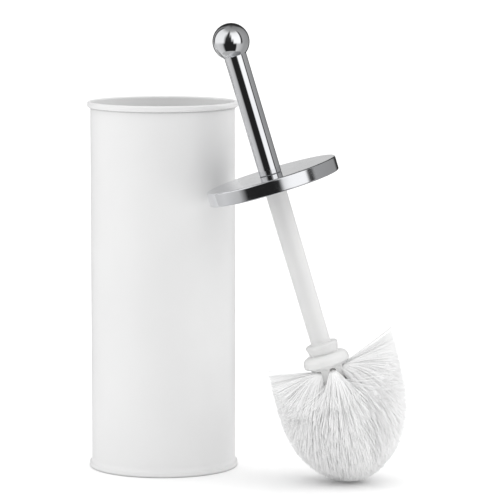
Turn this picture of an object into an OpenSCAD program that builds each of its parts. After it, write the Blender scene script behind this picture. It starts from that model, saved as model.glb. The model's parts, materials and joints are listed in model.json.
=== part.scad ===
// Toilet brush and its tall steel canister, with a lift-out drip cup.
// Z is up and the origin is on the canister's axis, at the floor.
// The brush stands on its bristles beside the canister, and leans towards it.

/* [Canister] */
// Outside diameter of the steel wall
can_d = 100; // [88:1:125]
// Height from the floor to the top of the rolled rim
can_h = 255; // [235:1:320]
// Thickness of the wall's steel sheet
can_wall = 0.5; // [0.4:0.1:0.7]
// How far the rolled rim stands out from the wall
curl_out = 2.1; // [1.8:0.1:3]
// Height of the rolled rim
curl_h = 4.2; // [3.8:0.1:6]
// Thickness of the pressed base's steel sheet
base_t = 0.5; // [0.4:0.1:0.7]
// Height of the seam that joins the base to the wall
seam_h = 3.6; // [3.2:0.1:5]
// Radius of the wall's outward flare just above the seam
flare_r = 5; // [4:0.5:8]
// Height of the base panel above the floor
base_rise = 4.6; // [4:0.1:8]

/* [Drip cup] */
// Space between the cup and the canister wall, all round
cup_gap = 0.9; // [0.5:0.1:3]
// Thickness of the moulded cup
cup_wall = 1.6; // [1.2:0.1:2.4]
// Inside depth of the cup
cup_depth = 66; // [45:1:80]
// How much narrower the cup is at its foot, on the radius
cup_draft = 1; // [0.4:0.1:2]
// Diameter of the two holes that a finger lifts the cup by
grip_d = 16; // [12:1:20]

/* [Placing] */
// Angle that the brush leans at
lean = 16.6; // [8:0.2:20]
// Bearing of the brush round the canister, from +X towards -Y
bearing = 39.6; // [30:0.2:60]
// Space between the lid's edge and the rolled rim, in plan
lid_gap = 0.9; // [0.5:0.1:20]

/* [Handle] */
// Diameter of the ball knob
knob_d = 25; // [22:0.5:32]
// Outside diameter of the handle tube
tube_d = 15.2; // [13:0.1:19]
// Wall of the handle tube
tube_wall = 0.8; // [0.6:0.1:1.2]
// Length of the handle tube
tube_l = 82.7; // [60:0.1:140]
// Diameter of the threaded studs
stud_d = 6; // [4:1:7]
// Length of the plugs pressed into the tube's ends
plug_l = 14; // [10:1:25]

/* [Lid] */
// Diameter of the lid
lid_d = 90.3; // [78:0.1:110]
// Height of the lid's skirt
lid_h = 9.6; // [6:0.1:14]
// Thickness of the lid's sheet
lid_t = 0.6; // [0.5:0.1:0.7]
// Outside radius of the lid's pressed corner
lid_corner = 1.1; // [0.8:0.1:2]
// Radius of the hem rolled into the skirt's lower edge
hem_r = 0.9; // [0.7:0.1:1.3]
// Thickness of the sealing ring between the tube and the lid
gasket_t = 0.4; // [0.3:0.1:1]
// Thickness of the steel washer under the lid
lid_washer_t = 1; // [0.8:0.1:2]

/* [Stem] */
// Diameter of the stem under the lid
stem_top_d = 14.6; // [12:0.1:17]
// Diameter of the stem above its collar
stem_low_d = 13.5; // [11.5:0.1:16]
// Length of the stem from its collar's lower face to its top
stem_l = 124.7; // [90:0.1:200]
// Largest diameter of the stem's collar
collar_d = 22.2; // [20:0.1:27]
// Height of the stem's collar
collar_h = 8; // [6.5:0.1:10]
// Diameter of the threaded spigot that screws into the head
spigot_d = 11; // [9:0.1:13.2]
// Length of the spigot
spigot_l = 21; // [16:0.5:24]
// Pitch of the spigot's thread
thread_pitch = 3; // [2:0.5:4]
// Depth of the spigot's thread
thread_depth = 0.6; // [0.4:0.1:0.9]
// Thickness of the rubber washer between the stem and the head
washer_t = 1; // [0.8:0.1:2]

/* [Brush head] */
// Diameter over the bristles
head_d = 88; // [74:1:106]
// Height of the domed lower part of the bristles
dome_h = 56; // [46:1:68]
// Height of the hub's top face above the bristle tips
hub_top = 90.4; // [86:0.1:110]
// Diameter of the hub's collar
hub_d = 31.4; // [29:0.1:37.8]
// Spacing of the bristle rows up the hub
row_pitch = 9.4; // [8.4:0.1:10.5]
// Diameter of the holes that hold the side tufts
tuft_d = 4.9; // [3.6:0.1:5.2]
// Depth of the holes that hold the side tufts
tuft_depth = 4.6; // [3.8:0.1:5.5]
// Diameter of the holes that hold the tip tufts
tip_tuft_d = 4; // [3:0.1:4.4]

/* [Fits] */
// Radial clearance of a screwed or turning fit
turn_fit = 0.05; // [0.02:0.01:0.09]
// Radial clearance of a pressed fit
press_fit = 0.03; // [0.01:0.01:0.05]
// Clearance between faces that lift apart
face_gap = 0.05; // [0.02:0.01:0.1]

/* [Hidden] */
$fn = 96;
eps = 0.01;

// Points on an arc about c, from angle a0 to a1, with n steps
function arc(c, r, a0, a1, n = 6) =
    [for (i = [0:n]) c + r * [cos(a0 + (a1 - a0) * i / n), sin(a0 + (a1 - a0) * i / n)]];
// The same path, walked the other way
function back(path) = [for (i = [len(path) - 1:-1:0]) path[i]];

// Canister
can_r = can_d / 2;
bore_r = can_r - can_wall;
curl_w = can_wall + curl_out;
curl_end_r = curl_w / 2;
curl_slit = 0.2;
sheet_gap = 0.05;
// The wall's foot is pushed out by the flare, and stands in the base's channel
foot_out = 1.05;
flare_fall = sqrt(pow(flare_r, 2) - pow(flare_r - foot_out, 2));
flare_top = seam_h + flare_fall;
flare_angle = asin(flare_fall / flare_r);
seam_r = can_r + foot_out + sheet_gap + base_t;
seam_corner = 0.6;
lip_round = base_t - sheet_gap;
channel_w = 2.2;
channel_r = can_r + foot_out + sheet_gap - channel_w;
panel_r = channel_r - base_t;
press_rise = 0.8;
press_rings = [0.3, 0.62];
press_ring_w = 5;
press_slope = 1;

// Drip cup: its floor is set so that the stored brush brings the lid level with the rim
cup_r = bore_r - cup_gap;
cup_foot_r = min(cup_r - cup_draft, panel_r - 0.6);
cup_foot_z = base_rise + face_gap;
cup_floor_min = 12;
cup_rib_h = 8;
cup_rib_n = 6;
cup_rib_w = 1.8;
cup_fillet = 1.2;

// Heights along the brush, from the bristle tips up
washer_z = hub_top + face_gap;
collar_z = washer_z + washer_t + face_gap;
stem_end_z = collar_z + stem_l;
lid_under_z = stem_end_z + lid_washer_t;
lid_top_z = lid_under_z + lid_t;
tube_z = lid_top_z + gasket_t;
tube_end_z = tube_z + tube_l;
knob_r = knob_d / 2;
tube_r = tube_d / 2;
plug_r = tube_r - tube_wall - press_fit;
knob_z = tube_end_z + sqrt(pow(knob_r, 2) - pow(tube_r, 2));
stud_r = stud_d / 2;
stud_grip = 11;
insert_l = 16;
insert_r = stud_r + 1.6;
washer_r = 9.5;
spigot_r = spigot_d / 2;
socket_r = spigot_r + turn_fit;
socket_l = spigot_l + 1;
thread_turns = 4;
collar_r = collar_d / 2;
collar_edge = 1.6;
collar_foot_in = 1.2;

// Hub
hub_r = hub_d / 2;
hub_collar_h = 9;
hub_round = 4.6;
hub_lip = 1.5;
socket_wall = 1.3;
collar_under_z = hub_top - hub_collar_h;
core_step = 1;
core_top_z = collar_under_z - core_step;
core_top_r = socket_r + socket_wall + tuft_depth;
core_low_r = core_top_r - 2.1;
row_n = 5;
tufts_per_row = 7;
first_row_drop = 11.9;
core_low_z = row_z(row_n) - 0.85 * row_pitch;
tip_n = 5;
tip_elev = -42;
tip_depth = 2.8;
staple_t = 0.4;
staple_w = 1.2;

// Bristles: the outline is a half ellipse under a straight side
head_r = head_d / 2;
side_top_z = hub_top - 0.4;
row_angles = [0, 0, 0, 26, 48, 70];
tip_angle = row_angles[row_n];
row_steps = 4;
tip_steps = 4;
row_gap = 0.5;
root_out = 0.6;
function row_z(k) = hub_top - first_row_drop - (k - 1) * row_pitch;
function row_elev(k) = 6 - 11.5 * (k - 1);
function core_r(z) = core_low_r + (core_top_r - core_low_r) * (z - core_low_z) / (core_top_z - core_low_z);
function dome(a) = [head_r * cos(a), dome_h * (1 - sin(a))];
function row_outer(k) = k < 3 ? [head_r, side_top_z + (dome_h - side_top_z) * k / 2] : dome(row_angles[k]);
function row_inner_z(k) = k == 0 ? core_top_z - 0.1 : row_z(k) - row_pitch / 2;
function row_inner(k) = [core_r(row_inner_z(k)) + press_fit, row_inner_z(k)];
function row_side(k) = k < 3 ? [row_outer(k - 1), row_outer(k)]
    : [for (i = [0:row_steps]) dome(row_angles[k - 1] + (row_angles[k] - row_angles[k - 1]) * i / row_steps)];
// Lowers the upper edge of a row's outline and raises its lower edge, to leave a gap between rows
function trim_row(path) = [for (i = [0:len(path) - 1])
    path[i] - [0, i < 2 ? row_gap / 2 : i > len(path) - 3 ? -row_gap / 2 : 0]];

// Where the brush stands
brush_low = sqrt(pow(head_r * sin(lean), 2) + pow(dome_h * cos(lean), 2)) - dome_h * cos(lean);
lid_dist = can_r + curl_out + lid_gap + lid_d / 2;
lid_mid_z = lid_top_z - lid_h / 2;
brush_at = [lid_dist * cos(bearing) + lid_mid_z * sin(lean), -lid_dist * sin(bearing), brush_low];

cup_floor_z = max(can_h - lid_top_z, base_rise + cup_floor_min);
cup_top_z = cup_floor_z + cup_depth;

// Stands a piece of the brush where the brush is
module on_brush() {
    translate(brush_at) rotate([0, -lean, 0]) children();
}

// Puts a child on the hub's surface at height z, pointing out and down by its elevation
module at_tuft(r, z, elev, turn) {
    rotate([0, 0, turn]) translate([r, 0, z]) rotate([0, 90 - elev, 0]) children();
}

// Puts a child at each hole of one row; alternate rows are staggered
module each_side_tuft(k) {
    for (i = [0:tufts_per_row - 1])
        at_tuft(core_r(row_z(k)), row_z(k), row_elev(k), (i + 0.5 * (k % 2)) * 360 / tufts_per_row) children();
}

// Puts a child at each hole in the hub's domed tip
module each_tip_tuft() {
    for (i = [0:tip_n - 1])
        at_tuft(core_low_r * cos(tip_elev), core_low_z + core_low_r * sin(tip_elev), tip_elev, i * 360 / tip_n)
            children();
    at_tuft(0, core_low_z - core_low_r, -90, 0) children();
}

// A threaded rod with turned ends, along Z
module stud(length) {
    chamfer = 0.8;
    cylinder(h = chamfer, r1 = stud_r - chamfer, r2 = stud_r);
    translate([0, 0, chamfer]) cylinder(h = length - 2 * chamfer, r = stud_r);
    translate([0, 0, length - chamfer]) cylinder(h = chamfer, r1 = stud_r, r2 = stud_r - chamfer);
}

// Rolled sheet wall: rim curled outwards at the top, foot flared at the bottom
module canister_shell() {
    curl_top = can_h - curl_end_r;
    curl_low = can_h - curl_h + curl_end_r;
    flare_at = [can_r + flare_r, flare_top];
    color("white") rotate_extrude() {
        difference() {
            translate([bore_r + curl_end_r, curl_low]) union() {
                circle(curl_end_r);
                translate([0, curl_top - curl_low]) circle(curl_end_r);
                translate([-curl_end_r, 0]) square([curl_w, curl_top - curl_low]);
            }
            translate([bore_r + curl_end_r, curl_low]) union() {
                circle(curl_end_r - can_wall);
                translate([0, curl_top - curl_low]) circle(curl_end_r - can_wall);
                translate([can_wall - curl_end_r, 0]) square([curl_w - 2 * can_wall, curl_top - curl_low]);
            }
            translate([bore_r - eps, curl_low - curl_end_r - eps])
                square([can_wall + curl_slit + eps, curl_end_r + eps]);
        }
        polygon(concat(
            [[bore_r, curl_low + eps], [bore_r, flare_top]],
            arc(flare_at, flare_r + can_wall, 180, 180 + flare_angle),
            [[can_r + foot_out - can_wall, base_t], [can_r + foot_out, base_t]],
            back(arc(flare_at, flare_r, 180, 180 + flare_angle)),
            [[can_r, curl_low + eps]]));
    }
}

// Pressed base: a raised panel with two ring beads, and an edge folded up round the wall's foot
module canister_base() {
    beads = [for (f = press_rings) each [
        [f * panel_r, 0], [f * panel_r + press_slope, press_rise],
        [f * panel_r + press_ring_w, press_rise], [f * panel_r + press_ring_w + press_slope, 0]]];
    top = [for (p = beads) p + [0, base_rise]];
    under = [for (p = beads) p + [0, base_rise - base_t]];
    color("white") rotate_extrude() polygon(concat(
        [[0, base_rise - base_t]], under,
        arc([panel_r - seam_corner, base_rise - base_t - seam_corner], seam_corner, 90, 0),
        arc([panel_r + seam_corner, seam_corner], seam_corner, 180, 270),
        arc([seam_r - seam_corner, seam_corner], seam_corner, 270, 360),
        arc([seam_r - lip_round, seam_h - lip_round], lip_round, 0, 90),
        [[seam_r - base_t, seam_h - sheet_gap], [seam_r - base_t, base_t], [channel_r, base_t]],
        arc([channel_r - seam_corner, base_rise - seam_corner], seam_corner, 0, 90),
        back(top), [[0, base_rise]]));
}

// Sealing compound in the channel between the base and the wall's foot
module base_seal() {
    seal_in = channel_r + press_fit;
    seal_out = can_r + foot_out - can_wall - press_fit;
    color("dimgray") rotate_extrude() translate([seal_in, base_t]) square([seal_out - seal_in, seam_h / 2]);
}

// Moulded cup with a raised floor on ribs, and two holes to lift it by
module inner_cup() {
    rim = cup_wall / 2;
    foot_in = cup_foot_r - cup_wall;
    under_z = cup_floor_z - cup_wall;
    color("white") difference() {
        union() {
            rotate_extrude() polygon(concat(
                [[foot_in, cup_foot_z], [cup_foot_r, cup_foot_z]],
                arc([cup_r - rim, cup_top_z - rim], rim, 0, 180, 8),
                arc([foot_in - cup_fillet, cup_floor_z + cup_fillet], cup_fillet, 0, -90),
                [[0, cup_floor_z], [0, under_z], [foot_in, under_z]]));
            for (i = [0:cup_rib_n - 1])
                rotate([0, 0, i * 360 / cup_rib_n])
                    translate([0, -cup_rib_w / 2, under_z - cup_rib_h + eps])
                        cube([foot_in + eps, cup_rib_w, cup_rib_h]);
        }
        translate([-can_d, 0, cup_top_z - grip_d]) rotate([0, 90, 0]) cylinder(h = 2 * can_d, d = grip_d);
    }
}

// Turned ball, flat where it seats on the tube, with a tapped hole
module knob_ball() {
    color("silver") on_brush() difference() {
        translate([0, 0, knob_z]) sphere(knob_r);
        translate([0, 0, tube_end_z - knob_d]) cylinder(h = knob_d, r = knob_r);
        translate([0, 0, tube_end_z - eps]) cylinder(h = stud_grip + 1, r = stud_r + press_fit);
    }
}

module knob_stud() {
    color("gray") on_brush() translate([0, 0, tube_end_z - stud_grip]) stud(2 * stud_grip);
}

// Turned plug pressed into one end of the tube, drilled for a stud
module tube_plug(z) {
    translate([0, 0, z]) difference() {
        cylinder(h = plug_l, r = plug_r);
        translate([0, 0, -1]) cylinder(h = plug_l + 2, r = stud_r + press_fit);
    }
}

module upper_plug() {
    color("gray") on_brush() tube_plug(tube_end_z - plug_l);
}

module handle_tube() {
    color("silver") on_brush() translate([0, 0, tube_z]) difference() {
        cylinder(h = tube_l, r = tube_r);
        translate([0, 0, -1]) cylinder(h = tube_l + 2, r = tube_r - tube_wall);
    }
}

module lower_plug() {
    color("gray") on_brush() tube_plug(tube_z);
}

// Sealing ring squeezed between the tube's end and the lid
module tube_gasket() {
    color("dimgray") on_brush() translate([0, 0, lid_top_z]) difference() {
        cylinder(h = gasket_t, r = tube_r - 0.2);
        translate([0, 0, -1]) cylinder(h = gasket_t + 2, r = stud_r + press_fit);
    }
}

// Pressed lid: a flat plate with a skirt, and a hem rolled into the skirt's lower edge
module lid() {
    r = lid_d / 2;
    hole_r = stud_r + press_fit;
    inner_corner = lid_corner - lid_t;
    color("silver") on_brush() translate([0, 0, lid_top_z]) rotate_extrude()
        polygon(concat(
            [[hole_r, -lid_t], [hole_r, 0]],
            arc([r - lid_corner, -lid_corner], lid_corner, 90, 0, 8),
            arc([r - hem_r, hem_r - lid_h], hem_r, 0, -240, 16),
            [[r - lid_t, 2 * hem_r - lid_h]],
            arc([r - lid_corner, -lid_corner], inner_corner, 0, 90)));
}

module lid_washer() {
    color("gray") on_brush() translate([0, 0, stem_end_z]) difference() {
        cylinder(h = lid_washer_t, r = stem_top_d / 2 - 0.3);
        translate([0, 0, -1]) cylinder(h = lid_washer_t + 2, r = stud_r + press_fit);
    }
}

module tie_stud() {
    low = stem_end_z - stud_grip;
    color("gray") on_brush() translate([0, 0, low]) stud(tube_z + stud_grip - low);
}

// Brass nut moulded into the stem's top
module stem_insert() {
    color("goldenrod") on_brush() translate([0, 0, stem_end_z - insert_l]) difference() {
        cylinder(h = insert_l, r = insert_r);
        translate([0, 0, insert_l - stud_grip - 1]) cylinder(h = stud_grip + 2, r = stud_r + press_fit);
    }
}

// Moulded stem: a tapered rod over a collar, and a spigot with a coarse thread under it
module stem() {
    low_r = stem_low_d / 2;
    top_r = stem_top_d / 2;
    neck = 1.6;
    edge_z = collar_h - neck - collar_edge;
    thread_start = spigot_l - 5;
    color("white") on_brush() translate([0, 0, collar_z]) difference() {
        union() {
            rotate_extrude() polygon(concat(
                [[0, 0], [collar_r - collar_foot_in, 0]],
                arc([collar_r - collar_edge, edge_z], collar_edge, -10, 75),
                [[low_r + neck, collar_h - neck]],
                arc([low_r + neck, collar_h], neck, 250, 190, 4),
                [[low_r, collar_h + neck], [top_r, stem_l], [0, stem_l]]));
            translate([0, 0, -spigot_l]) cylinder(h = spigot_l + eps, r = spigot_r);
        }
        translate([0, 0, stem_l - insert_l]) cylinder(h = insert_l + 1, r = insert_r + press_fit);
        for (i = [0:thread_turns - 1])
            translate([0, 0, -thread_start + i * thread_pitch]) rotate_extrude() polygon([
                [spigot_r - thread_depth, -0.25 * thread_pitch + thread_depth],
                [spigot_r + eps, -0.25 * thread_pitch],
                [spigot_r + eps, 0.25 * thread_pitch],
                [spigot_r - thread_depth, 0.25 * thread_pitch - thread_depth]]);
    }
}

module head_washer() {
    color("whitesmoke") on_brush() translate([0, 0, washer_z]) difference() {
        cylinder(h = washer_t, r = washer_r);
        translate([0, 0, -1]) cylinder(h = washer_t + 2, r = socket_r);
    }
}

// Moulded hub: a collar with a threaded socket, over a tapered core drilled for the tufts
module head_hub() {
    color("white") on_brush() difference() {
        rotate_extrude() polygon(concat(
            [[0, hub_top], [hub_r - hub_round - 0.6, hub_top]],
            arc([hub_r - hub_round, hub_top - hub_round - 0.1], hub_round, 90, 0, 8),
            arc([hub_r - hub_lip, collar_under_z + hub_lip + 1.2], hub_lip, 0, -90),
            [[core_top_r + 0.6, collar_under_z], [core_top_r, core_top_z]],
            arc([0, core_low_z], core_low_r, 0, -90, 10)));
        translate([0, 0, hub_top - socket_l]) cylinder(h = socket_l + 1, r = socket_r);
        for (k = [1:row_n])
            each_side_tuft(k) translate([0, 0, -tuft_depth]) cylinder(h = tuft_depth + 5, d = tuft_d);
        each_tip_tuft() translate([0, 0, -tip_depth]) cylinder(h = tip_depth + 4, d = tip_tuft_d);
    }
}

// One row of tufts, as the space that its bristles fill, with their folded roots in the hub's holes
module bristle_row(k) {
    root_l = tuft_depth - staple_t - press_fit;
    band_top = row_inner_z(k - 1);
    band_low = row_inner_z(k);
    color("whitesmoke") on_brush() {
        rotate_extrude() polygon(trim_row(concat([row_inner(k - 1)], row_side(k), [row_inner(k)])));
        // The roots stop just outside the core, so that a tilted one stays out of the row above
        intersection() {
            each_side_tuft(k) translate([0, 0, -root_l]) cylinder(h = root_l + 2, r = tuft_d / 2 - press_fit);
            rotate_extrude() polygon([
                [0, band_low], [core_r(band_low) + root_out, band_low],
                [core_r(band_top) + root_out, band_top], [0, band_top]]);
        }
    }
}

// The tufts at the hub's tip, as the space that they fill
module bristle_tip() {
    root_l = tip_depth - staple_t - press_fit;
    core = core_low_r + press_fit;
    color("whitesmoke") on_brush() {
        rotate_extrude() polygon(concat(
            [for (i = [0:tip_steps]) dome(tip_angle + (90 - tip_angle) * i / tip_steps) - [0, i == 0 ? row_gap : 0]],
            arc([0, core_low_z], core, -90, 0, 10),
            [row_inner(row_n) - [0, row_gap]]));
        each_tip_tuft() translate([0, 0, -root_l]) cylinder(h = root_l + 2, r = tip_tuft_d / 2 - press_fit);
    }
}

// Flat wire staples that anchor the tufts at the bottom of their holes
module tuft_staples() {
    color("gray") on_brush() {
        for (k = [1:row_n])
            each_side_tuft(k) translate([0, 0, staple_t / 2 - tuft_depth])
                cube([staple_w, tuft_d - 0.4, staple_t], center = true);
        each_tip_tuft() translate([0, 0, staple_t / 2 - tip_depth])
            cube([staple_w, tip_tuft_d - 0.4, staple_t], center = true);
    }
}

canister_shell();
canister_base();
base_seal();
inner_cup();
knob_ball();
knob_stud();
upper_plug();
handle_tube();
lower_plug();
tube_gasket();
lid();
lid_washer();
tie_stud();
stem_insert();
stem();
head_washer();
head_hub();
bristle_row(1);  // bristle_row_1
bristle_row(2);  // bristle_row_2
bristle_row(3);  // bristle_row_3
bristle_row(4);  // bristle_row_4
bristle_row(5);  // bristle_row_5
bristle_tip();
tuft_staples();
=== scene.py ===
import json
import math
import bmesh
import bpy
import numpy as np
from mathutils import Matrix, Vector


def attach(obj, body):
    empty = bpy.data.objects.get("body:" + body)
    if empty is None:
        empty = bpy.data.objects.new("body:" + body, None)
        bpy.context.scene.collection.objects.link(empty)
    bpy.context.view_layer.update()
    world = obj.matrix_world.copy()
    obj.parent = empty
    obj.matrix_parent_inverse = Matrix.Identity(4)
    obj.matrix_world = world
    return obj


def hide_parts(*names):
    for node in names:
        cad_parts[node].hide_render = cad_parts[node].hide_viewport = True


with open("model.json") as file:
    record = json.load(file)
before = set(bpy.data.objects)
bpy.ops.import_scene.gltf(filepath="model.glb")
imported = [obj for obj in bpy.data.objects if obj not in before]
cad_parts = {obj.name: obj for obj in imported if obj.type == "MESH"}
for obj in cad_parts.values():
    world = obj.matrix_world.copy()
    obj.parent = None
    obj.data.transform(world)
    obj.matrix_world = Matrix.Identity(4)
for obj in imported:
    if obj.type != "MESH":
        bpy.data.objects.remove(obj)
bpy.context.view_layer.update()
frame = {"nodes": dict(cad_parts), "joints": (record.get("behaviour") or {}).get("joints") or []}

# ---------------------------------------------------------------------------------------------
# Canister wall: a steel sheet rolled into a tube and welded, its rim curled outwards round
# itself and its foot flared into the base's seam. It is powder coated white inside and out.
MM = 0.001


def linear(code):
    """An sRGB hex colour, as the linear red, green, blue and alpha that Blender's sockets take."""
    parts = [int(code[i:i + 2], 16) / 255 for i in (1, 3, 5)]
    return [p / 12.92 if p <= 0.04045 else ((p + 0.055) / 1.055) ** 2.4 for p in parts] + [1.0]


def add(tree, kind, inputs=None, **settings):
    """Adds a node with its settings. An input given as another node's output is linked, not set."""
    node = tree.nodes.new(kind)
    for name, value in settings.items():
        setattr(node, name, value)
    for name, value in (inputs or {}).items():
        if isinstance(value, bpy.types.NodeSocket):
            tree.links.new(value, node.inputs[name])
        else:
            node.inputs[name].default_value = value
    return node


def material_of(name, **uniform):
    """A material with one Principled shader, whose uniform values are set on its own sockets."""
    material = bpy.data.materials.new(name)
    material.use_nodes = True
    tree = material.node_tree
    shader = tree.nodes["Principled BSDF"]
    for socket, value in uniform.items():
        shader.inputs[socket.replace("_", " ")].default_value = value
    return material, tree, shader


def patch(tree, where, size, low, high, detail=2.0):
    """Soft patches about size across, in metres, as a value from low to high. The noise itself
    hardly leaves 0.3 to 0.7."""
    noise = add(tree, "ShaderNodeTexNoise", {"Vector": where, "Scale": 1 / size, "Detail": detail})
    return add(tree, "ShaderNodeMapRange", {
        "Value": noise.outputs["Fac"], "From Min": 0.3, "From Max": 0.7,
        "To Min": low, "To Max": high}).outputs["Result"]


def tint(tree, factor, one, other):
    """A colour between two hex colours."""
    return add(tree, "ShaderNodeMix", {0: factor, 6: linear(one), 7: linear(other)},
               data_type="RGBA").outputs[2]


def relief(tree, shader, height, depth):
    """Gives a shader the bumps of a height pattern of that depth, in metres."""
    bump = add(tree, "ShaderNodeBump", {"Height": height, "Distance": depth, "Strength": 1.0})
    tree.links.new(bump.outputs["Normal"], shader.inputs["Normal"])


def paint_node(node, material):
    """Puts a material on a CAD node in place of the one it was packed with."""
    slots = frame["nodes"][node].data.materials
    slots.clear()
    slots.append(material)


def white_powder_coat(name, own_creases_only):
    """Baked polyester powder: satin, never quite even, with the faint orange peel of melted powder.
    The peel's real pitch of 0.5 mm is drawn at 1.5 mm, so that it shows. Painted shade greys its
    creases."""
    material, tree, shader = material_of(name, IOR=1.52, Specular_IOR_Level=0.5)
    place = add(tree, "ShaderNodeTexCoord").outputs["Object"]
    colour = tint(tree, patch(tree, place, 60 * MM, 0, 1), "#e5e5e5", "#e2e2e2")
    # Painted shade: where ambient occlusion finds surfaces within 2.5 mm, such as under the rim curl
    # and along the foot, the colour is mixed towards grey
    open_air = add(tree, "ShaderNodeAmbientOcclusion", {"Distance": 2.5 * MM}, samples=8,
                   only_local=own_creases_only).outputs["AO"]
    crease_shade = add(tree, "ShaderNodeMapRange", {
        "Value": open_air, "From Min": 0.45, "From Max": 0.85, "To Min": 1.0, "To Max": 0.0})
    shaded_coat = add(tree, "ShaderNodeMix", {
        0: crease_shade.outputs["Result"], 6: colour, 7: linear("#a6a6a6")}, data_type="RGBA")
    tree.links.new(shaded_coat.outputs[2], shader.inputs["Base Color"])
    tree.links.new(patch(tree, place, 14 * MM, 0.36, 0.46), shader.inputs["Roughness"])
    relief(tree, shader, patch(tree, place, 1.5 * MM, 0, 1), 0.012 * MM)
    return material


paint_node("canister_shell", white_powder_coat("wall_powder_coat", True))

# ---------------------------------------------------------------------------------------------
# Canister base: a pressed steel panel with two ring beads, its edge folded up round the wall's
# foot and coated with it. Grey compound, squeezed in before the fold, keeps the seam watertight.
paint_node("canister_base", white_powder_coat("base_powder_coat", False))


def grey_rubber():
    """Moulded nitrile or cured compound: matt, with a faint dusty bloom on it."""
    material, tree, shader = material_of("grey_rubber", IOR=1.5, Specular_IOR_Level=0.35)
    place = add(tree, "ShaderNodeTexCoord").outputs["Object"]
    tree.links.new(tint(tree, patch(tree, place, 3 * MM, 0, 1), "#6d6e70", "#84868a"),
                   shader.inputs["Base Color"])
    tree.links.new(patch(tree, place, 1.2 * MM, 0.62, 0.8), shader.inputs["Roughness"])
    relief(tree, shader, patch(tree, place, 0.6 * MM, 0, 1), 0.02 * MM)
    return material


rubber = grey_rubber()
paint_node("base_seal", rubber)

# ---------------------------------------------------------------------------------------------
# Drip cup: white polypropylene, injection moulded, with a raised floor on ribs. It stands loose
# on the canister's base and lifts out by its two finger holes.


def moulded_polypropylene(name, light, shade, gloss):
    """Moulded polypropylene: milky and half glossy, a little shinier in some places than in others,
    as the plastic copies the polish of the mould."""
    material, tree, shader = material_of(name, IOR=1.49)
    place = add(tree, "ShaderNodeTexCoord").outputs["Object"]
    tree.links.new(tint(tree, patch(tree, place, 18 * MM, 0, 1), light, shade),
                   shader.inputs["Base Color"])
    tree.links.new(patch(tree, place, 16 * MM, gloss - 0.006, gloss + 0.008, detail=0.0),
                   shader.inputs["Roughness"])
    return material


paint_node("inner_cup", moulded_polypropylene("cup_polypropylene", "#e6e6e5", "#e1e1e0", 0.45))

# ---------------------------------------------------------------------------------------------
# Hub: the head's moulded core in white polypropylene, a collar with a threaded socket over a
# tapered body. Each tuft is folded over a flat wire staple that is shot into its drilled hole.
paint_node("head_hub", moulded_polypropylene("hub_polypropylene", "#e5e5e4", "#e2e2e2", 0.34))


def galvanised_wire():
    """Flat zinc-coated wire: dull bright grey, with drawn streaks of varying shine."""
    material, tree, shader = material_of("galvanised_wire", Metallic=1.0)
    place = add(tree, "ShaderNodeTexCoord").outputs["Object"]
    tree.links.new(tint(tree, patch(tree, place, 2 * MM, 0, 1), "#b6b8bb", "#9a9da1"),
                   shader.inputs["Base Color"])
    tree.links.new(patch(tree, place, 1 * MM, 0.3, 0.5), shader.inputs["Roughness"])
    return material


paint_node("tuft_staples", galvanised_wire())

# ---------------------------------------------------------------------------------------------
# Tufts: bundles of white polypropylene monofilament, folded into the hub's holes in five rows
# and a tip group, splayed into fans and trimmed to a domed outline. Each row is one piece.
turn = next(j for j in frame["joints"] if j["name"] == "head_unscrew")
brush_axis = Vector(turn["axis"]).normalized()


def points_of(node):
    """The vertices of a CAD node, one row each."""
    mesh = frame["nodes"][node].data
    flat = np.empty(3 * len(mesh.vertices))
    mesh.vertices.foreach_get("co", flat)
    return flat.reshape(-1, 3)


tip_level = float((points_of("bristle_tip") @ np.array(brush_axis)).min())
on_axis = Vector(turn["pos_m"])
brush_tip = on_axis + (tip_level - on_axis.dot(brush_axis)) * brush_axis
upright_to_axis = Vector((0, 0, 1)).rotation_difference(brush_axis)
to_brush = Matrix.Translation(brush_tip) @ upright_to_axis.to_matrix().to_4x4()
from_brush = to_brush.inverted()


def local(points):
    """The same points in the brush's own frame, where Z runs up its axis from the bristle tips."""
    turned = np.array(from_brush)
    return points @ turned[:3, :3].T + turned[:3, 3]


def reach(node):
    """The largest radius of a CAD node about the brush's axis."""
    return float(np.hypot(*local(points_of(node))[:, :2].T).max())


# A filament, a hole, the part of its radius that the roots spread over, how unevenly the ends are
# cut, and how far a filament wanders from its line
FILAMENT_R = 0.17 * MM
FILAMENT_SIDES = 4
FILAMENT_POINTS = 5
HOLE_R = 2.4 * MM
ROOT_SPREAD = 0.62
RAGGED = 0.03
BOW = 0.2 * MM
# The fans are turned a little about the axis. The whole head leans to the right, and its right
# side also stands up and reaches further out
FAN_TWIST = -12.9
SWEEP = 2.8 * MM
RISE = 5.5 * MM
EXTRA_REACH = 2.6 * MM
# From this share of a fan upwards, its last few filaments stand further apart than the rest
STRAY_FROM = 0.986
STRAY_SPREAD = 7.0
# How long a filament keeps to its hole's direction, as a share of its length: at the sides, how
# much longer at the front and back, and how much less at a fan's edges there
ARCH = 0.3
FRONT_ARCH = 0.12
EDGE_SPLAY = 0.3
# The power of a bearing's sine that says how much of a fan lies at the front or back
FRONT_POWER = 1.4
# For each row: the outline angles that its fans cover at the brush's sides, and at its front and
# back, where they are combed down, how far they reach out there, and the filaments in a tuft
ROWS = (((-87, 30), (10, 74), 1.0, 760),
        ((-60, 48), (-12, 80), 0.92, 640),
        ((-10, 60), (36, 84), 0.86, 460),
        ((22, 72), (54, 87), 0.86, 380),
        ((46, 80), (64, 89), 0.9, 340))
TIP_TUFTS = ((66, 89), (66, 89), 1.0, 300)
TUFTS_IN_ROW = 7
SIDE_FAN_HALF = 25
TIP_FAN_HALF = 44
head_r = reach("bristle_row_1")
side_top = float(local(points_of("bristle_row_1"))[:, 2].max())
dome_h = float(local(points_of("bristle_row_2"))[:, 2].min())
# A place inside the hub that every hole leads away from, as a share of the side tufts' height
HUB_MIDDLE = 0.62
hub_middle = np.array([0, 0, HUB_MIDDLE * side_top])


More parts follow.
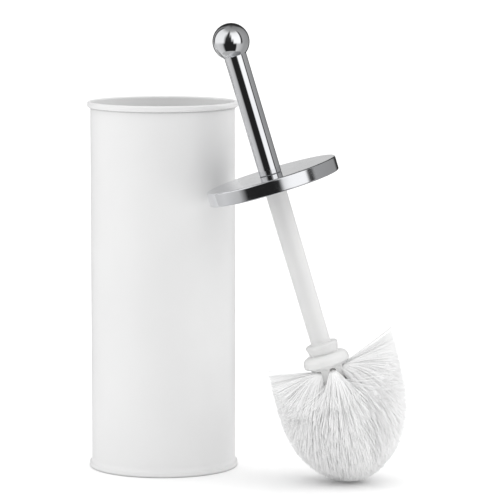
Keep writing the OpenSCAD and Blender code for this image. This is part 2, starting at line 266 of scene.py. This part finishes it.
def tuft_holes():
    """The bottom of each hole and the way out of it, from the staple that lies across it."""
    shape = bmesh.new()
    shape.from_mesh(frame["nodes"]["tuft_staples"].data)
    bmesh.ops.remove_doubles(shape, verts=shape.verts, dist=0.001 * MM)
    left, found = set(shape.verts), []
    while left:
        island, edge = set(), [next(iter(left))]
        while edge:
            vertex = edge.pop()
            if vertex not in island:
                island.add(vertex)
                edge += [e.other_vert(vertex) for e in vertex.link_edges]
        left -= island
        corners = local(np.array([v.co for v in island]))
        centre = corners.mean(axis=0).round(6) + 0.0
        out = np.linalg.svd(corners - centre)[2][2]
        found.append((centre, out if out @ (centre - hub_middle) > 0 else -out))
    shape.free()

    def from_the_top(hole):
        x, y, z = hole[0]
        return -round(float(z), 4), math.atan2(y, x)

    return sorted(found, key=from_the_top)


holes = tuft_holes()


def white_filament():
    """Extruded polypropylene monofilament: milky white and half glossy, so that each strand shows as
    a bright line. Each is a little lighter or greyer than the next. Towards its cut tip it is greyed a
    little for the scatter of its flagged end, and more as painted shade that tones down the free ends,
    which catch more light than the roots deep in the tuft."""
    material, tree, shader = material_of("white_filament", IOR=1.49, Roughness=0.38)
    strand = add(tree, "ShaderNodeAttribute", attribute_name="strand").outputs["Fac"]
    along = add(tree, "ShaderNodeAttribute", attribute_name="along").outputs["Fac"]
    # Painted shade: the colour greys towards the tip, where the filaments stand free in the light
    towards_tip = add(tree, "ShaderNodeMath", {0: along, 1: 2.0}, operation="POWER").outputs[0]
    body = tint(tree, strand, "#ffffff", "#fcfcfc")
    colour = add(tree, "ShaderNodeMix", {
        0: towards_tip, 6: body, 7: linear("#f9f9f9")}, data_type="RGBA")
    tree.links.new(colour.outputs[2], shader.inputs["Base Color"])
    return material


filament = white_filament()


def tuft_tree():
    """Geometry nodes that turn each hole's point into a fan of filaments, trimmed to the head's
    outline. A point carries its hole's way out, its bearing and the angles that its fan covers."""
    tree = bpy.data.node_groups.new("tuft_fans", "GeometryNodeTree")
    face = tree.interface
    face.new_socket("Holes", in_out="INPUT", socket_type="NodeSocketGeometry")
    for name in ("Filaments", "Seed"):
        face.new_socket(name, in_out="INPUT", socket_type="NodeSocketInt")
    for name in ("Filament radius", "Spread in hole", "Head radius", "Dome height", "Side height",
                 "Raggedness", "Bow", "Sweep", "Rise", "Extra reach", "Front reach"):
        face.new_socket(name, in_out="INPUT", socket_type="NodeSocketFloat")
    face.new_socket("Tufts", in_out="OUTPUT", socket_type="NodeSocketGeometry")
    size = add(tree, "NodeGroupInput").outputs

    def math_(operation, a, b=0.0):
        return add(tree, "ShaderNodeMath", {0: a, 1: b}, operation=operation).outputs[0]

    def plus(a, b):
        return math_("ADD", a, b)

    def minus(a, b):
        return math_("SUBTRACT", a, b)

    def times(a, b):
        return math_("MULTIPLY", a, b)

    def between(low, high, share):
        return plus(low, times(share, minus(high, low)))

    def vector(operation, a, b):
        return add(tree, "ShaderNodeVectorMath", {0: a, 1: b}, operation=operation).outputs

    def moved(place, direction, amount):
        step = add(tree, "ShaderNodeVectorMath", {0: direction, "Scale": amount}, operation="SCALE")
        return vector("ADD", place, step.outputs["Vector"])["Vector"]

    def chance(low, high, offset):
        """A number drawn for each filament."""
        seed = plus(size["Seed"], offset)
        return add(tree, "FunctionNodeRandomValue", {2: low, 3: high, "Seed": seed},
                   data_type="FLOAT").outputs[1]

    def chance_direction(offset):
        seed = plus(size["Seed"], offset)
        return add(tree, "FunctionNodeRandomValue", {0: (-1, -1, -1), 1: (1, 1, 1), "Seed": seed},
                   data_type="FLOAT_VECTOR").outputs[0]

    def carried(name, kind="FLOAT"):
        return add(tree, "GeometryNodeInputNamedAttribute", {"Name": name}, data_type=kind).outputs[0]

    def carry(geometry, name, value, kind="FLOAT"):
        return add(tree, "GeometryNodeStoreNamedAttribute",
                   {"Geometry": geometry, "Name": name, "Value": value},
                   data_type=kind, domain="POINT").outputs["Geometry"]

    # One point for each filament, with its place in its fan, across and up, from -1 to 1
    points = add(tree, "GeometryNodeMeshToPoints", {"Mesh": size["Holes"]}).outputs["Points"]
    strands = add(tree, "GeometryNodeDuplicateElements",
                  {"Geometry": points, "Amount": size["Filaments"]}, domain="POINT").outputs["Geometry"]
    strands = carry(strands, "across", chance(-1.0, 1.0, 1))
    strands = carry(strands, "upward", chance(-1.0, 1.0, 2))
    strands = carry(strands, "strand", chance(0.0, 1.0, 3))
    across, upward = carried("across"), carried("upward")

    # The root, inside the hole
    outward = carried("outward", "FLOAT_VECTOR")
    beside = carried("beside", "FLOAT_VECTOR")
    over = vector("CROSS_PRODUCT", outward, beside)["Vector"]
    hole = add(tree, "GeometryNodeInputPosition").outputs[0]
    root = moved(hole, beside, times(across, size["Spread in hole"]))
    root = moved(root, over, times(upward, size["Spread in hole"]))

    # The angle of the cut end on the head's outline, and how much of its radius is cut back
    bearing = plus(carried("bearing"), times(across, carried("fan_half")))
    frontal = math_("POWER", math_("ABSOLUTE", math_("SINE", bearing)), FRONT_POWER)
    upper = between(carried("side_top"), carried("front_top"), frontal)
    lower = between(carried("side_low"), carried("front_low"), frontal)
    share = plus(times(upward, 0.5), 0.5)
    share = plus(share, times(math_("MAXIMUM", minus(share, STRAY_FROM), 0.0), STRAY_SPREAD))
    angle = between(lower, upper, share)
    trim = minus(1.0, times(chance(0.0, 1.0, 4), size["Raggedness"]))
    trim = times(trim, minus(1.0, times(frontal, minus(1.0, size["Front reach"]))))

    # The end's place: a half ellipse below, a straight side above, then the lean to the right
    dome_angle = math_("MAXIMUM", angle, 0.0)
    radius = times(times(math_("COSINE", dome_angle), size["Head radius"]), trim)
    drop = times(times(math_("SINE", dome_angle), size["Dome height"]), trim)
    side_share = math_("DIVIDE", math_("MAXIMUM", times(angle, -1.0), 0.0), math.pi / 2)
    height = plus(minus(size["Dome height"], drop), times(side_share, size["Side height"]))
    lift = math_("DIVIDE", height, plus(size["Dome height"], size["Side height"]))
    on_right = times(math_("MAXIMUM", math_("COSINE", bearing), 0.0), lift)
    sweep = plus(times(lift, size["Sweep"]), times(on_right, size["Extra reach"]))
    end = add(tree, "ShaderNodeCombineXYZ", {
        "X": plus(times(radius, math_("COSINE", bearing)), sweep),
        "Y": times(radius, math_("SINE", bearing)),
        "Z": plus(height, times(times(on_right, lift), size["Rise"]))}).outputs[0]

    # Between them a filament leaves along its hole, then bends towards its end
    length = vector("DISTANCE", end, root)["Value"]
    splay = times(times(across, across), EDGE_SPLAY)
    bend = moved(root, outward, times(length, plus(ARCH, times(frontal, minus(FRONT_ARCH, splay)))))
    bend = moved(bend, chance_direction(5), size["Bow"])
    for name, value in (("root", root), ("bend", bend), ("end", end)):
        strands = carry(strands, name, value, "FLOAT_VECTOR")
    line = add(tree, "GeometryNodeCurvePrimitiveLine").outputs["Curve"]
    line = add(tree, "GeometryNodeResampleCurve", {"Curve": line, "Count": FILAMENT_POINTS})
    fan = add(tree, "GeometryNodeInstanceOnPoints", {
        "Points": strands, "Instance": line.outputs["Curve"]})
    fan = add(tree, "GeometryNodeRealizeInstances", {"Geometry": fan.outputs["Instances"]})
    along = add(tree, "GeometryNodeSplineParameter").outputs["Factor"]
    rest = minus(1.0, along)
    place = (0, 0, 0)
    for name, weight in (("root", times(rest, rest)), ("bend", times(times(rest, along), 2.0)),
                         ("end", times(along, along))):
        place = moved(place, carried(name, "FLOAT_VECTOR"), weight)
    fan = add(tree, "GeometryNodeSetPosition", {"Geometry": fan.outputs["Geometry"], "Position": place})
    fan = carry(fan.outputs["Geometry"], "along", along)
    profile = add(tree, "GeometryNodeCurvePrimitiveCircle",
                  {"Resolution": FILAMENT_SIDES, "Radius": size["Filament radius"]})
    fan = add(tree, "GeometryNodeCurveToMesh", {
        "Curve": fan, "Profile Curve": profile.outputs["Curve"], "Fill Caps": True})
    fan = add(tree, "GeometryNodeRealizeInstances", {"Geometry": fan.outputs["Mesh"]})
    fan = add(tree, "GeometryNodeSetMaterial", {
        "Geometry": fan.outputs["Geometry"], "Material": filament})
    add(tree, "NodeGroupOutput", {"Tufts": fan.outputs["Geometry"]})
    return tree


def grown(name, mesh, tree, sizes):
    """Runs a tree on a mesh and returns what it grows, as a plain mesh object along the brush."""
    seedling = bpy.data.objects.new(name, mesh)
    bpy.context.scene.collection.objects.link(seedling)
    modifier = seedling.modifiers.new("fans", "NODES")
    modifier.node_group = tree
    sockets = {s.name: s.identifier for s in tree.interface.items_tree if s.in_out == "INPUT"}
    for label, value in sizes.items():
        modifier[sockets[label]] = value
    bpy.context.view_layer.update()
    graph = bpy.context.evaluated_depsgraph_get()
    grown_mesh = bpy.data.meshes.new_from_object(
        seedling.evaluated_get(graph), preserve_all_data_layers=True, depsgraph=graph)
    seedling.modifiers.remove(modifier)
    seedling.data = grown_mesh
    grown_mesh.name = name
    grown_mesh.transform(to_brush)
    grown_mesh.polygons.foreach_set("use_smooth", [False] * len(grown_mesh.polygons))
    return seedling


fans = tuft_tree()


def row_of_tufts(name, node, members, row, halves, seed):
    """One row of tufts, or the tip's. halves are the half widths of its tufts' fans, in degrees."""
    side, front, front_reach, filaments = row
    mesh = bpy.data.meshes.new(name + "_holes")
    mesh.from_pydata([tuple(centre) for centre, _ in members], [], [])
    columns = {key: [] for key in ("outward", "beside", "bearing", "fan_half",
                                   "side_top", "side_low", "front_top", "front_low")}
    for (centre, outward), half in zip(members, halves):
        bearing = math.atan2(centre[1], centre[0])
        columns["outward"] += list(outward)
        columns["beside"] += [-math.sin(bearing), math.cos(bearing), 0.0]
        columns["bearing"].append(bearing + math.radians(FAN_TWIST))
        columns["fan_half"].append(math.radians(half))
        for key, value in zip(("side_top", "side_low", "front_top", "front_low"), side + front):
            columns[key].append(math.radians(value))
    for key, values in columns.items():
        is_vector = key in ("outward", "beside")
        data = mesh.attributes.new(key, "FLOAT_VECTOR" if is_vector else "FLOAT", "POINT").data
        data.foreach_set("vector" if is_vector else "value", values)
    piece = grown(name, mesh, fans, {
        "Filaments": filaments, "Seed": seed, "Filament radius": FILAMENT_R,
        "Spread in hole": ROOT_SPREAD * HOLE_R, "Head radius": head_r, "Dome height": dome_h,
        "Side height": side_top - dome_h, "Raggedness": RAGGED, "Bow": BOW, "Sweep": SWEEP,
        "Rise": RISE, "Extra reach": EXTRA_REACH, "Front reach": front_reach})
    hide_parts(node)
    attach(piece, "head")


for k, row in enumerate(ROWS):
    row_of_tufts(f"tufts_row_{k + 1}", f"bristle_row_{k + 1}",
                 holes[k * TUFTS_IN_ROW:(k + 1) * TUFTS_IN_ROW], row,
                 [SIDE_FAN_HALF] * TUFTS_IN_ROW, 10 * k + 3)
# The tip's middle tuft spreads all round, and each tuft of the ring about it covers a sector
tip_holes = holes[len(ROWS) * TUFTS_IN_ROW:]
in_middle = [math.hypot(centre[0], centre[1]) < 1 * MM for centre, _ in tip_holes]
row_of_tufts("tufts_tip", "bristle_tip", tip_holes, TIP_TUFTS,
             [180 if middle else TIP_FAN_HALF for middle in in_middle], 71)

# ---------------------------------------------------------------------------------------------
# Washer: a milky silicone ring between the hub and the stem's collar. It keeps water out of the
# thread and stays on the stem when the head is unscrewed.


def milky_silicone():
    """Moulded silicone: soft and milky, so light enters it, with a faint bloom."""
    material, tree, shader = material_of(
        "milky_silicone", IOR=1.43, Specular_IOR_Level=0.4, Subsurface_Weight=0.5,
        Subsurface_Radius=(1.0, 1.0, 1.0), Subsurface_Scale=1.2 * MM)
    place = add(tree, "ShaderNodeTexCoord").outputs["Object"]
    tree.links.new(tint(tree, patch(tree, place, 3 * MM, 0, 1), "#ebebea", "#e2e2e1"),
                   shader.inputs["Base Color"])
    tree.links.new(patch(tree, place, 1.2 * MM, 0.55, 0.7), shader.inputs["Roughness"])
    return material


paint_node("head_washer", milky_silicone())

# ---------------------------------------------------------------------------------------------
# Stem: a tapered rod of white polypropylene moulded over a brass nut, with a collar and a coarse
# threaded spigot at its lower end that screws into the hub.
paint_node("stem", moulded_polypropylene("stem_polypropylene", "#dededd", "#dbdbdb", 0.3))
# A wave texture of scale 1 repeats after this many metres
BAND_PITCH = 0.314


def turned_metal(name, light, shade, rough, pitch):
    """Metal turned in a lathe: fine rings left by the tool, that catch the light in bands.
    The rings' real pitch of 0.1 mm is drawn coarser, so that it shows."""
    material, tree, shader = material_of(name, Metallic=1.0)
    place = add(tree, "ShaderNodeTexCoord").outputs["Object"]
    lean = to_brush.to_euler()
    along = add(tree, "ShaderNodeMapping", {"Vector": place, "Location": -brush_tip})
    along = add(tree, "ShaderNodeMapping", {
        "Vector": along.outputs[0], "Rotation": (-lean.x, -lean.y, -lean.z)}).outputs[0]
    rings = add(tree, "ShaderNodeTexWave", {
        "Vector": along, "Scale": BAND_PITCH / pitch, "Distortion": 0.4},
        bands_direction="Z").outputs["Fac"]
    tree.links.new(tint(tree, patch(tree, place, 4 * MM, 0, 1), light, shade),
                   shader.inputs["Base Color"])
    gloss = add(tree, "ShaderNodeMapRange", {
        "Value": rings, "To Min": rough - 0.05, "To Max": rough + 0.07}).outputs["Result"]
    tree.links.new(gloss, shader.inputs["Roughness"])
    relief(tree, shader, rings, 0.006 * MM)
    return material


paint_node("stem_insert", turned_metal("turned_brass", "#d9bd72", "#c9a95c", 0.28, 0.4 * MM))

# ---------------------------------------------------------------------------------------------
# Lid: a disc of steel sheet pressed into a shallow pan, its lower edge hemmed, then polished and
# chromium plated. A zinc-plated washer, a stud and a sealing ring clamp it between stem and tube.


def chrome_plate(name, light, shade, rough, marks):
    """Bright chromium over polished steel: a mirror with a slight blue-grey cast, and faint
    polishing marks that soften what it reflects a little more in some places than others."""
    material, tree, shader = material_of(name, Metallic=1.0)
    place = add(tree, "ShaderNodeTexCoord").outputs["Object"]
    tree.links.new(tint(tree, patch(tree, place, 30 * MM, 0, 1), light, shade),
                   shader.inputs["Base Color"])
    tree.links.new(patch(tree, place, marks, rough * 0.7, rough * 1.3, detail=5),
                   shader.inputs["Roughness"])
    relief(tree, shader, patch(tree, place, 9 * MM, 0, 1), 0.003 * MM)
    return material


paint_node("lid", chrome_plate("chrome_lid", "#e6e7e9", "#dcdde0", 0.12, 6 * MM))
zinc_plate = turned_metal("zinc_plated_steel", "#b9bcc0", "#a5a8ad", 0.34, 0.5 * MM)
for node in ("lid_washer", "tie_stud", "knob_stud"):
    paint_node(node, zinc_plate)
paint_node("tube_gasket", rubber)

# ---------------------------------------------------------------------------------------------
# Handle: a drawn steel tube, polished and chromium plated, with a turned steel plug pressed into
# each end. A turned and plated ball screws down on the tube's upper end.
turned_steel = turned_metal("turned_steel", "#a9abae", "#96989b", 0.3, 0.5 * MM)
paint_node("lower_plug", turned_steel)
paint_node("upper_plug", turned_steel)
paint_node("handle_tube", chrome_plate("chrome_tube", "#e4e5e7", "#d9dadd", 0.05, 5 * MM))
paint_node("knob_ball", chrome_plate("chrome_ball", "#e6e7e9", "#dddee0", 0.035, 8 * MM))

# ---------------------------------------------------------------------------------------------
# Studio: a plain pale floor and a long lens, white light from all round, two softboxes and a wide
# lamp overhead, and a surround of paper and black flags that is seen only in what reflects it.
view_camera = bpy.data.cameras.new("camera")
camera = bpy.data.objects.new("camera", view_camera)
bpy.context.scene.collection.objects.link(camera)
bpy.context.scene.camera = camera
CAMERA_PITCH = math.radians(6.76)
CAMERA_PLACE = (60.4 * MM, -2200 * MM, 412 * MM)
camera.location = CAMERA_PLACE
camera.rotation_euler = (math.pi / 2 - CAMERA_PITCH, 0, 0)
view_camera.lens = 229.5
view_camera.clip_end = 60

bpy.context.scene.view_settings.view_transform = "Standard"
bpy.context.scene.cycles.max_bounces = 20
bpy.context.scene.cycles.diffuse_bounces = 16
SKY_LIGHT = 0.66
BACKDROP_LIGHT = 1.08
world = bpy.data.worlds.new("studio")
bpy.context.scene.world = world
world.use_nodes = True
sky = world.node_tree
sky.nodes["Background"].inputs["Color"].default_value = linear("#ffffff")
backdrop = add(sky, "ShaderNodeMapRange", {
    "Value": add(sky, "ShaderNodeLightPath").outputs["Is Camera Ray"],
    "To Min": SKY_LIGHT, "To Max": BACKDROP_LIGHT}).outputs["Result"]
sky.links.new(backdrop, sky.nodes["Background"].inputs["Strength"])


def studio_sheet(name, corners, faces, material):
    """A sheet through those points, part of the studio and not of the object."""
    mesh = bpy.data.meshes.new(name)
    mesh.from_pydata(corners, [], faces)
    sheet = bpy.data.objects.new(name, mesh)
    bpy.context.scene.collection.objects.link(sheet)
    mesh.materials.append(material)
    return sheet


# What the polished pieces reflect: softboxes, grey paper and a black flag, as rings of brightness
# round the object. A stop is a bearing from the camera's side, to the right, and a brightness.
# A ring is a radius, a height and its stops.
FLOOR_GREY = ((-180, 0.5), (180, 0.5))
FLAG_ON_FLOOR = ((-180, 0.03), (-150, 0.03), (-140, 0.6), (-90, 0.75), (-56, 0.6), (-42, 0.02),
                 (30, 0.02), (38, 0.7), (60, 0.6), (90, 0.4), (140, 0.4), (150, 0.03), (180, 0.03))
LOW_WALL = ((-180, 0.76), (-170, 0.76), (-164, 0.03), (-150, 0.03), (-140, 0.4), (-128, 0.25),
            (-124, 0.04), (-119, 0.04), (-114, 1.05), (-48, 1.05), (-34, 0.02), (12, 0.02),
            (19, 1.25), (59, 1.25), (63, 0.04), (71, 0.04), (76, 0.42), (130, 0.34), (140, 0.34),
            (150, 0.03), (164, 0.03), (170, 0.76), (180, 0.76))
MID_WALL = ((-180, 0.03), (-150, 0.03), (-140, 0.3), (-128, 0.3), (-124, 0.06), (-118, 0.06),
            (-113, 1.05), (-48, 1.05), (-30, 0.04), (-2, 0.04), (6, 1.25), (59, 1.25), (63, 0.06),
            (70, 0.06), (76, 0.42), (130, 0.34), (140, 0.3), (150, 0.03), (180, 0.03))
HIGH_WALL = ((-180, 0.03), (-150, 0.03), (-140, 0.25), (-128, 0.2), (-124, 0.06), (-118, 0.06),
             (-110, 0.9), (-34, 1.0), (-24, 0.06), (-14, 0.06), (-5, 1.1), (59, 1.1), (64, 0.1),
             (70, 0.1), (80, 0.4), (130, 0.3), (140, 0.25), (150, 0.03), (180, 0.03))
CEILING = ((-180, 0.1), (-150, 0.3), (-60, 0.45), (-26, 0.45), (-20, 0.2), (-14, 0.45),
           (40, 0.45), (100, 0.3), (150, 0.25), (180, 0.1))
CEILING_MIDDLE = ((-180, 0.3), (180, 0.3))
WALL_R = 1.2
SURROUND_RINGS = ((0.0, 0.0, FLOOR_GREY), (0.225, 0.0, FLOOR_GREY), (0.23, 0.0, FLAG_ON_FLOOR),
                  (WALL_R, 0.0, FLAG_ON_FLOOR), (WALL_R, 0.25, LOW_WALL), (WALL_R, 0.8, MID_WALL),
                  (WALL_R, 1.7, HIGH_WALL), (1.0, 2.6, CEILING), (0.0, 3.0, CEILING_MIDDLE))
SURROUND_STEP = 2
SURROUND_CENTRE = Vector((0.06, -0.03, 1 * MM))
bearings = list(range(-180, 180, SURROUND_STEP))
corners, glow, faces = [], [], []
for radius, height, stops in SURROUND_RINGS:
    for bearing in bearings:
        around = math.radians(bearing)
        outwards = Vector((radius * math.sin(around), -radius * math.cos(around), height))
        corners.append(SURROUND_CENTRE + outwards)
        glow.append(float(np.interp(bearing, *zip(*stops))))
count = len(bearings)
for first in range(0, len(corners) - count, count):
    for i in range(count):
        after = (i + 1) % count
        faces.append((first + i, first + after, first + count + after, first + count + i))
lit_paper = bpy.data.materials.new("lit_paper")
lit_paper.use_nodes = True
lit_paper.cycles.emission_sampling = "NONE"
tree = lit_paper.node_tree
tree.nodes.clear()
brightness = add(tree, "ShaderNodeAttribute", attribute_name="glow").outputs["Fac"]
paper_light = add(tree, "ShaderNodeEmission", {"Strength": brightness, "Color": linear("#ffffff")})
add(tree, "ShaderNodeOutputMaterial", {"Surface": paper_light.outputs[0]})
surround = studio_sheet("studio_surround", corners, faces, lit_paper)
surround.data.attributes.new("glow", "FLOAT", "POINT").data.foreach_set("value", glow)
for kind in ("camera", "shadow", "diffuse", "transmission"):
    setattr(surround, f"visible_{kind}", False)

SOFTBOX_SIZE = 0.9
SOFTBOX_AIM = Vector((0.05, -0.05, 0.2))


def softbox(name, place, power):
    """A square softbox at place that faces the object. Neither the camera nor a reflection sees it."""
    light = bpy.data.lights.new(name, "AREA")
    light.size = SOFTBOX_SIZE
    light.energy = power
    lamp = bpy.data.objects.new(name, light)
    bpy.context.scene.collection.objects.link(lamp)
    lamp.location = place
    lamp.rotation_euler = (Vector(place) - SOFTBOX_AIM).to_track_quat("Z", "Y").to_euler()
    lamp.visible_camera = False
    lamp.visible_glossy = False


softbox("left_softbox", (-1.7, 0.0, 0.5), 2.6)
softbox("right_softbox", (1.7, 0.1, 0.5), 6.5)
overhead = bpy.data.lights.new("overhead", "SUN")
overhead.energy = 1.8
overhead.angle = math.radians(120)
lamp = bpy.data.objects.new("overhead", overhead)
bpy.context.scene.collection.objects.link(lamp)
lamp.visible_glossy = False

pale_floor, tree, shader = material_of("pale_floor", Roughness=0.9, Specular_IOR_Level=0.1)
place = add(tree, "ShaderNodeTexCoord").outputs["Object"]
tree.links.new(tint(tree, patch(tree, place, 0.8, 0, 1), "#fdfdfd", "#fbfbfb"),
               shader.inputs["Base Color"])
FLOOR_HALF = 12
floor_corners = [(x * FLOOR_HALF, y * FLOOR_HALF, 0) for x, y in ((-1, -1), (1, -1), (1, 1), (-1, 1))]
studio_sheet("floor", floor_corners, [(0, 1, 2, 3)], pale_floor)
